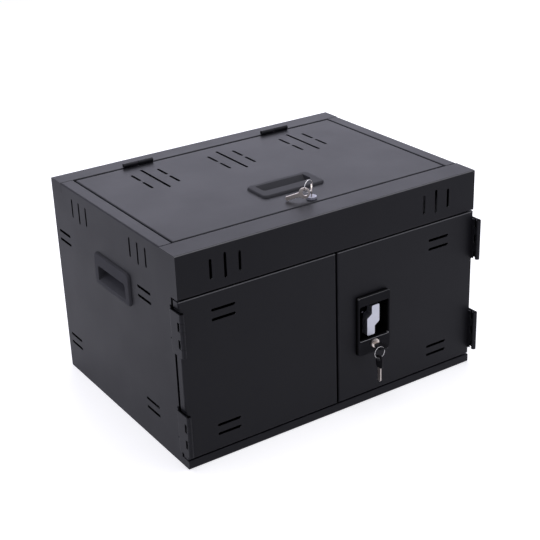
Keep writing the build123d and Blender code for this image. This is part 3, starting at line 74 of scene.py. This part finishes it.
camera.matrix_world = Matrix.Translation(CAMERA_PLACE) @ turn
scene.collection.objects.link(camera)
scene.camera = camera


# Materials
def shader(name, color, roughness, metallic=0.0, specular=0.5):
    """A material with its Principled shader's constants set on the shader itself."""
    material = bpy.data.materials.new(name)
    material.use_nodes = True
    bsdf = material.node_tree.nodes["Principled BSDF"]
    bsdf.inputs["Base Color"].default_value = (*color, 1)
    bsdf.inputs["Roughness"].default_value = roughness
    bsdf.inputs["Metallic"].default_value = metallic
    bsdf.inputs["Specular IOR Level"].default_value = specular
    return material, bsdf


def add(material, kind, **inputs):
    """A new shader node; inputs name its sockets, with underscores for spaces."""
    node = material.node_tree.nodes.new(kind)
    for key, value in inputs.items():
        node.inputs[key.replace("_", " ")].default_value = value
    return node


def wire(material, source, target):
    """Link one socket to another."""
    material.node_tree.links.new(source, target)


def noise(material, scale, detail=3.0, stretch=None):
    """Noise in the object's own coordinates, its scale in cycles per metre."""
    place = add(material, "ShaderNodeTexCoord")
    source = place.outputs["Object"]
    if stretch:
        mapping = add(material, "ShaderNodeMapping", Scale=stretch)
        wire(material, source, mapping.inputs["Vector"])
        source = mapping.outputs["Vector"]
    texture = add(material, "ShaderNodeTexNoise", Scale=scale, Detail=detail)
    wire(material, source, texture.inputs["Vector"])
    return texture.outputs["Fac"]


def ramp(material, source, low, high, start=0.0, end=1.0):
    """The source's range from start to end, carried to low and high."""
    node = add(material, "ShaderNodeMapRange", From_Min=start, From_Max=end, To_Min=low, To_Max=high)
    wire(material, source, node.inputs["Value"])
    return node.outputs["Result"]


def blend_colour(material, factor, low, high):
    """A mix of two colours, each a tuple or a socket."""
    node = material.node_tree.nodes.new("ShaderNodeMix")
    node.data_type = "RGBA"
    wire(material, factor, node.inputs["Factor"])
    for socket, value in (("A_Color", low), ("B_Color", high)):
        target = next(i for i in node.inputs if i.identifier == socket)
        if isinstance(value, tuple):
            target.default_value = (*value, 1)
        else:
            wire(material, value, target)
    return next(o for o in node.outputs if o.identifier == "Result_Color")


def rounded_normal(material, radius):
    """The normal as if every edge were rounded to the radius."""
    bevel = add(material, "ShaderNodeBevel", Radius=radius)
    bevel.samples = 6
    return bevel.outputs["Normal"]


def edge_mask(material, rounded, gain):
    """White along sharp edges, found where a bevelled normal leaves the true one."""
    geometry = add(material, "ShaderNodeNewGeometry")
    dot = add(material, "ShaderNodeVectorMath")
    dot.operation = "DOT_PRODUCT"
    wire(material, rounded, dot.inputs[0])
    wire(material, geometry.outputs["Normal"], dot.inputs[1])
    return ramp(material, dot.outputs["Value"], 0.0, gain, 1.0, 0.75)


def bump(material, bsdf, height, distance, strength, normal=None):
    """Relief from a height socket, over an optional normal."""
    node = add(material, "ShaderNodeBump", Strength=strength, Distance=distance)
    wire(material, height, node.inputs["Height"])
    if normal:
        wire(material, normal, node.inputs["Normal"])
    wire(material, node.outputs["Normal"], bsdf.inputs["Normal"])


def calculate(material, operation, *sources):
    """One arithmetic node over its sources."""
    node = add(material, "ShaderNodeMath")
    node.operation = operation
    for source, target in zip(sources, node.inputs):
        wire(material, source, target)
    return node.outputs[0]


def object_axes(material, output):
    """The X, Y and Z sockets of the object's coordinates or of its normal."""
    place = add(material, "ShaderNodeTexCoord")
    parts = add(material, "ShaderNodeSeparateXYZ")
    wire(material, place.outputs[output], parts.inputs["Vector"])
    return parts.outputs


def fold_mask(material):
    """White on folds and rounded corners, where the normal leaves the object's axes."""
    x, y, z = (calculate(material, "ABSOLUTE", part) for part in object_axes(material, "Normal"))
    widest = calculate(material, "MAXIMUM", calculate(material, "MAXIMUM", x, y), z)
    return ramp(material, widest, 0.0, 1.0, 0.98, 0.80)


def upper_rim_highlight(material):
    """White on rounded rims that face up, where a painted highlight stands for light falling from above.
    """
    facing_up = ramp(material, object_axes(material, "Normal")["Z"], 0.0, 1.0, 0.25, 0.5)
    return calculate(material, "MULTIPLY", fold_mask(material), facing_up)


def powder_coat(name, specular=0.13, cut_edges=False, highlight_tone=None):
    """Fine matt black powder coat: orange peel, slight cloudiness, folds and cut edges lightened partly
    as wear and partly as painted highlight, and a painted highlight on upward rims.
    """
    material, bsdf = shader(name, COAT, 0.46, specular=specular)
    tone = blend_colour(material, noise(material, 6.0, 4.0), COAT_DARK, COAT_LIGHT)
    # Folds lightened in patches: partly wear, partly a painted highlight
    patches = ramp(material, noise(material, 40.0, 4.0), 0.2, 1.0, 0.4, 0.6)
    rubbed_and_lit = calculate(material, "MULTIPLY", fold_mask(material), patches)
    worn_and_lit = blend_colour(material, rubbed_and_lit, tone, COAT_RUBBED_AND_LIT)
    # Painted highlight on rounded rims that face up, standing for light from above
    if highlight_tone:
        worn_and_lit = blend_colour(material, upper_rim_highlight(material), worn_and_lit, (highlight_tone, highlight_tone, highlight_tone * 1.02))
    rounded = None
    # Cut edges lightened: partly wear, partly a painted highlight
    if cut_edges:
        rounded = rounded_normal(material, 0.7 * MM)
        worn_and_lit = blend_colour(material, edge_mask(material, rounded, 0.35), worn_and_lit, COAT_CUT_WORN_AND_LIT)
    wire(material, worn_and_lit, bsdf.inputs["Base Color"])
    wire(material, ramp(material, noise(material, 14.0, 5.0), 0.42, 0.52), bsdf.inputs["Roughness"])
    bump(material, bsdf, noise(material, 900.0, 2.0), 0.05 * MM, 0.35, rounded)
    return material


def along(material, axis, start, end):
    """0 before start and 1 after end along one of the object's axes."""
    return ramp(material, object_axes(material, "Object")[axis], 0.0, 1.0, start, end)


def moulded_plastic(name, tone, roughness=0.5, grain=1800.0, specular=0.1, light_and_shade=None):
    """Grained plastic, cloudy in tone and gloss; its last argument adds painted highlights and shade of
    its own to the colour.
    """
    material, bsdf = shader(name, (tone, tone, tone * 1.1), roughness, specular=specular)
    cloudy = [(share * tone, share * tone, share * tone * 1.1) for share in (0.85, 1.2)]
    colour = blend_colour(material, noise(material, 30.0), *cloudy)
    if light_and_shade:
        colour = light_and_shade(material, colour)
    wire(material, colour, bsdf.inputs["Base Color"])
    gloss = ramp(material, noise(material, 60.0), roughness - 0.06, roughness + 0.08)
    wire(material, gloss, bsdf.inputs["Roughness"])
    bump(material, bsdf, noise(material, grain, 2.0), 0.03 * MM, 0.4, rounded_normal(material, 0.5 * MM))
    return material


def lock_highlight_and_shade(material, colour):
    """Painted highlight on upper rims, brightest on the window's sill, and painted shade darkening the
    inside of the cup.
    """
    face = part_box("lock_escutcheon")[0][1]
    near_sill = along(material, "Z", SILL_Z + 3 * MM, SILL_Z + MM)
    # Painted highlight, brightest near the sill
    sill_highlight = blend_colour(material, near_sill, (0.12,) * 3, (0.42,) * 3)
    rim_highlit = blend_colour(material, upper_rim_highlight(material), colour, sill_highlight)
    # Painted shade deep inside the cup
    cup_shade = along(material, "Y", face + MM, face + 6 * MM)
    return blend_colour(material, cup_shade, rim_highlit, (0.0015,) * 3)


def metal(name, color, roughness, stretch=(1, 1, 1), scale=700.0, depth=0.01, stain=0.75):
    """Plated or cast metal with directional scratches, a faint stain and rounded edges."""
    material, bsdf = shader(name, color, roughness, metallic=1.0)
    stained = tuple(c * stain for c in color)
    tone = blend_colour(material, noise(material, 90.0, 5.0), color, stained)
    wire(material, tone, bsdf.inputs["Base Color"])
    grain = noise(material, scale, 3.0, stretch)
    wire(material, ramp(material, grain, roughness - 0.08, roughness + 0.12), bsdf.inputs["Roughness"])
    bump(material, bsdf, grain, depth * MM, 0.5, rounded_normal(material, 0.3 * MM))
    return material


# Black coat: its mean tone, its clouds, its folds lightened partly as wear and partly as painted
# highlight, and the edges cut by the punch, lightened the same way
COAT = (0.0062, 0.0062, 0.0076)
COAT_DARK = (0.0054, 0.0054, 0.0066)
COAT_LIGHT = (0.0072, 0.0072, 0.0088)
COAT_RUBBED_AND_LIT = (0.016, 0.016, 0.019)
COAT_CUT_WORN_AND_LIT = (0.030, 0.030, 0.034)

# Height of the lower edge of the window in the lock's escutcheon
SILL_Z = 126 * MM

# Every coat lightens its folds, and those with cut edges lighten them too, partly as wear and partly as
# painted highlight
coat = powder_coat("powder_coat", cut_edges=True)
# The door and fascia coats paint a highlight on their upward rims
door_coat = powder_coat("door_powder_coat", cut_edges=True, highlight_tone=0.13)
side_coat = powder_coat("side_powder_coat")
fascia_coat = powder_coat("fascia_powder_coat", 0.118, highlight_tone=0.12)
plastic = moulded_plastic("black_plastic", 0.0045, specular=0.14)
grip_plastic = moulded_plastic("grip_plastic", 0.050, specular=0.012)
# The escutcheon's colour carries painted highlights on its rims and sill and painted shade in its cup
escutcheon_plastic = moulded_plastic("escutcheon_plastic", 0.016, specular=0.01, light_and_shade=lock_highlight_and_shade)
# Hinge pins painted near-black, standing for the shade in the gaps between knuckles
knuckle_gap_shade = moulded_plastic("pin_painted_gap_shade", 0.0015, specular=0.02)
# Rivet heads painted near-black without reflection, standing for the shade of a hollow
rivet_hollow_shade = moulded_plastic("rivet_painted_shade", 0.0008, specular=0.0)
head_plastic = moulded_plastic("key_head_plastic", 0.010, 0.42)
rubber = moulded_plastic("black_rubber", 0.012, 0.75, 2600.0)
outlet_plastic = moulded_plastic("outlet_plastic", 0.035, 0.4)
zinc = metal("zinc_steel", (0.60, 0.60, 0.59), 0.34, (1, 1, 0.08))
nickel = metal("nickel_brass", (0.64, 0.58, 0.52), 0.38, (1, 0.15, 1), 900.0)
satin_nickel = metal("satin_nickel", (0.34, 0.34, 0.38), 0.62, scale=900.0)
blackened = metal("blackened_steel", (0.12, 0.12, 0.12), 0.35, scale=1200.0)
dull_steel = metal("dull_screw_steel", (0.30, 0.30, 0.32), 0.40, scale=1200.0)
cast = metal("cast_zinc", (0.46, 0.47, 0.50), 0.42, scale=1600.0, depth=0.03, stain=0.9)
wire_steel = metal("ring_steel", (0.70, 0.69, 0.66), 0.25, scale=500.0, depth=0.004)

finishes = {
    "powder_coat": coat,
    "black_plastic": plastic,
    "black_rubber": rubber,
    "zinc_steel": zinc,
    "nickel_brass": nickel,
    "cast_zinc": cast,
}
slot_of = {part["node"]: part["material_slot"] for part in frame["record"]["subparts"]}
for name, node in nodes.items():
    node.data.materials.clear()
    node.data.materials.append(finishes[slot_of[name]])
for name in ("door_key_head", "door_spare_head"):
    nodes[name].data.materials[0] = head_plastic
nodes["power_strip_cover"].data.materials[0] = outlet_plastic
nodes["lock_escutcheon"].data.materials[0] = escutcheon_plastic
nodes["fascia"].data.materials[0] = fascia_coat
for name in ("lid_lock_body", "lid_lock_plug"):
    nodes[name].data.materials[0] = satin_nickel
for hand in ("left", "right"):
    nodes[f"{hand}_side_panel"].data.materials[0] = side_coat
    nodes[f"{hand}_door_panel"].data.materials[0] = door_coat
for name in ("lid_grip", "left_side_grip", "right_side_grip"):
    nodes[name].data.materials[0] = grip_plastic
# The pins carry the painted shade of the gaps between knuckles
for name in ("door_hinge_pins", "lid_hinge_pins"):
    nodes[name].data.materials[0] = knuckle_gap_shade


# Pieces
def piece(name, mesh, material, body):
    """A finished piece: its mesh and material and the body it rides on."""
    thing = bpy.data.objects.new(name, mesh)
    scene.collection.objects.link(thing)
    mesh.materials.append(material)
    for polygon in mesh.polygons:
        polygon.use_smooth = True
    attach(thing, body)
    return thing


def on_circle(radius, share, first, second):
    """A point on a circle, at a share of its turn from the first direction to the second."""
    angle = 2 * math.pi * share
    return radius * (math.cos(angle) * first + math.sin(angle) * second)


def add_ring(grid, centre, radius, first, second, sides):
    """A ring of new vertices round the centre."""
    return [grid.verts.new(centre + on_circle(radius, k / sides, first, second)) for k in range(sides)]


def join_rings(grid, rings):
    """A wall of four-sided faces from each ring to the next."""
    sides = len(rings[0])
    for a, b in zip(rings, rings[1:]):
        for k in range(sides):
            grid.faces.new((a[k], a[(k + 1) % sides], b[(k + 1) % sides], b[k]))


def finished_mesh(grid, name):
    """The grid as a mesh; the grid itself is freed."""
    mesh = bpy.data.meshes.new(name)
    grid.to_mesh(mesh)
    grid.free()
    return mesh


def tube(points, radius, sides):
    """Mesh tube along points, with frames carried from one point to the next."""
    grid = bmesh.new()
    rings = []
    last = len(points) - 1
    side = None
    for i, point in enumerate(points):
        ahead = points[min(i + 1, last)] - points[max(i - 1, 0)]
        ahead.normalize()
        if side is None:
            side = ahead.orthogonal().normalized()
        side = (side - ahead * side.dot(ahead)).normalized()
        rings.append(add_ring(grid, point, radius, side, ahead.cross(side), sides))
    join_rings(grid, rings)
    grid.faces.new(list(reversed(rings[0])))
    grid.faces.new(rings[-1])
    return finished_mesh(grid, "tube")


# Split rings: the wire's radius, the rise over both coils, and how far the wire's
# centre lies inside the plain ring's outer edge
WIRE_RADIUS = 0.44 * MM
COIL_RISE = 0.9 * MM
COIL_INSET = 0.9 * MM
COIL_STEPS = 96
COILS = 2
WIRE_SIDES = 10


def split_ring(name, node, body):
    """Two flat coils of wire in place of the plain ring."""
    low, high = (Vector(corner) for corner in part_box(node))
    centre = (low + high) / 2
    cloud = np.array([tuple(v.co - centre) for v in nodes[node].data.vertices])
    radius = float(np.linalg.norm(cloud, axis=1).max()) - COIL_INSET
    # The ring's axis is the direction in which its points spread least
    normal = Vector(np.linalg.svd(cloud, full_matrices=False)[2][2])
    first = normal.orthogonal().normalized()
    second = normal.cross(first)
    points = []
    steps = COILS * COIL_STEPS
    for i in range(steps + 1):
        shift = (i / steps - 0.5) * COIL_RISE
        points.append(centre + on_circle(radius, i / COIL_STEPS, first, second) + shift * normal)
    ring = piece(name, tube(points, WIRE_RADIUS, WIRE_SIDES), wire_steel, body)
    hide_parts(node)


split_ring("door_split_ring", "door_key_ring", "door_ring")
split_ring("lid_split_ring", "lid_key_ring", "lid_ring")


# Screw heads: shares of the radius and of the rise up the dome, and the recess
HEAD_PROFILE = ((1.0, 0.0), (1.0, 0.35), (0.85, 0.75), (0.5, 1.0))
HEAD_SIDES = 24
RECESS_FLOOR = 0.45
RECESS_DIP = 0.35


def screw(name, centre, normal, radius, rise, body, material):
    """Domed head of a screw or rivet on a surface, with a cross recess."""
    grid = bmesh.new()
    centre = Vector(centre)
    normal = Vector(normal).normalized()
    first = normal.orthogonal().normalized()
    second = normal.cross(first)
    rings = []
    for width, height in HEAD_PROFILE:
        level_centre = centre + normal * height * rise
        rings.append(add_ring(grid, level_centre, width * radius, first, second, HEAD_SIDES))
    join_rings(grid, rings)
    middle = grid.verts.new(centre + normal * RECESS_FLOOR * rise)
    crown = rings[-1]
    # The crown dips along the four arms of a cross, three vertices to an arm
    quarter = HEAD_SIDES // 4
    for k in range(HEAD_SIDES):
        if k % quarter in (0, 1, quarter - 1):
            crown[k].co -= normal * RECESS_DIP * rise
    for k in range(HEAD_SIDES):
        grid.faces.new((crown[k], crown[(k + 1) % HEAD_SIDES], middle))
    piece(name, finished_mesh(grid, name), material, body)


# Screw on the floor of the lock's cup, beside the lever's hub
CUP_SCREW = (64 * MM, -206.5 * MM, 169.1 * MM)
screw("lock_cup_screw", CUP_SCREW, (0, -1, 0), 1.5 * MM, 0.6 * MM, "right_door", dull_steel)

# Rivets in the feet of the cabinet's leaves, near their back edge; the feet lie on the sides; their
# heads are painted near-black, standing for the shade of a hollow
LEAF = 1.8 * MM
RIVET_FROM_EDGE = 1.6 * MM
RIVET_HEIGHT = 20.3 * MM
side_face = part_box("right_side_panel")[1][0]
for hand, way in (("left", -1), ("right", 1)):
    for level_name in ("upper", "lower"):
        low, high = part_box(f"{hand}_{level_name}_frame_leaf")
        place = (way * (side_face + LEAF), high[1] - RIVET_FROM_EDGE, low[2] + RIVET_HEIGHT)
        name = f"{hand}_{level_name}_leaf_rivet"
        screw(name, place, (way, 0, 0), 1.6 * MM, 0.9 * MM, "cabinet", rivet_hollow_shade)

# Screws of the power inlet's flange, on its level middle line
INLET_SCREW_REACH = 19 * MM
low, high = (Vector(corner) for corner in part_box("inlet_socket"))
middle = (low + high) / 2
for hand, way in (("left", -1), ("right", 1)):
    place = (middle.x + way * INLET_SCREW_REACH, high.y, middle.z)
    screw(f"inlet_{hand}_screw", place, (0, 1, 0), 2.2 * MM, 0.8 * MM, "cabinet", blackened)


# Floor, light and world
def ray_mask(tree, *kinds):
    """One where the light path is any of the named kinds of ray."""
    path = tree.nodes.new("ShaderNodeLightPath")
    mask = path.outputs[kinds[0]]
    for kind in kinds[1:]:
        either = tree.nodes.new("ShaderNodeMath")
        either.operation = "MAXIMUM"
        tree.links.new(mask, either.inputs[0])
        tree.links.new(path.outputs[kind], either.inputs[1])
        mask = either.outputs[0]
    return mask


def seen_colour(tree, tint):
    """White to the camera, slightly blue to every other ray."""
    mix = tree.nodes.new("ShaderNodeMix")
    mix.data_type = "RGBA"
    tree.links.new(ray_mask(tree, "Is Camera Ray", "Is Transmission Ray"), mix.inputs["Factor"])
    for socket, value in (("A_Color", tint), ("B_Color", (1, 1, 1))):
        next(i for i in mix.inputs if i.identifier == socket).default_value = (*value, 1)
    return next(o for o in mix.outputs if o.identifier == "Result_Color")


def seen_strength(tree, others, seen):
    """One strength for the rays that see the backdrop, another for those that only light."""
    strength = tree.nodes.new("ShaderNodeMapRange")
    strength.inputs["To Min"].default_value = others
    strength.inputs["To Max"].default_value = seen
    seeing = ray_mask(tree, "Is Camera Ray", "Is Glossy Ray", "Is Transmission Ray")
    tree.links.new(seeing, strength.inputs["Value"])
    return strength.outputs["Result"]


# Tint and strength of the light from floor and backdrop, and half the floor's width in metres
COOL = (0.93, 0.925, 1.08)
FLOOR_GLOW = 0.52
WORLD_LIGHT = 0.45
HALF_FLOOR = 9
floor_corners = [(x * HALF_FLOOR, y * HALF_FLOOR, 0) for x, y in ((-1, -1), (1, -1), (1, 1), (-1, 1))]
floor_mesh = bpy.data.meshes.new("floor")
floor_mesh.from_pydata(floor_corners, [], [(0, 1, 2, 3)])
floor = bpy.data.objects.new("floor", floor_mesh)
scene.collection.objects.link(floor)
floor_material, plain = shader("floor", (0.8, 0.8, 0.8), 0.9, specular=0.0)
tree = floor_material.node_tree
glow = tree.nodes.new("ShaderNodeEmission")
tree.links.new(seen_strength(tree, 0.0, FLOOR_GLOW), glow.inputs["Strength"])
tree.links.new(seen_colour(tree, COOL), glow.inputs["Color"])
both = tree.nodes.new("ShaderNodeAddShader")
tree.links.new(plain.outputs[0], both.inputs[0])
tree.links.new(glow.outputs[0], both.inputs[1])
tree.links.new(both.outputs[0], tree.nodes["Material Output"].inputs["Surface"])
floor_mesh.materials.append(floor_material)

world = bpy.data.worlds.new("world")
world.use_nodes = True
scene.world = world
tree = world.node_tree
backdrop = tree.nodes["Background"]
tree.links.new(seen_strength(tree, WORLD_LIGHT, 1.0), backdrop.inputs["Strength"])
tree.links.new(seen_colour(tree, COOL), backdrop.inputs["Color"])


def softbox(name, place, aim, width, height, power, color=(1, 1, 1)):
    """A rectangular lamp at a place, turned to its aim; power in watts."""
    data = bpy.data.lights.new(name, "AREA")
    data.color = color
    data.shape = "RECTANGLE"
    data.size = width
    data.size_y = height
    data.energy = power
    lamp = bpy.data.objects.new(name, data)
    facing = (Vector(aim) - Vector(place)).to_track_quat("-Z", "Y")
    lamp.matrix_world = Matrix.Translation(place) @ facing.to_matrix().to_4x4()
    scene.collection.objects.link(lamp)


# Each lamp: its place, what it faces, its width, height and power, and its tint
softbox("overhead", (0.0, -0.2, 2.4), (0, 0, 0.3), 2.4, 2.0, 34)
softbox("behind", (1.5, 2.3, 1.9), (0, 0, 0.35), 2.6, 1.8, 38, (0.85, 0.84, 1.0))
softbox("left", (-1.1, 1.1, 0.7), (-0.3, 0.05, 0.25), 1.0, 0.7, 3.3, (0.80, 0.79, 1.0))
softbox("right", (1.9, -1.5, 0.9), (0.2, -0.2, 0.2), 1.2, 1.0, 4.0, (0.9, 0.9, 1.0))

scene.view_settings.view_transform = "Standard"
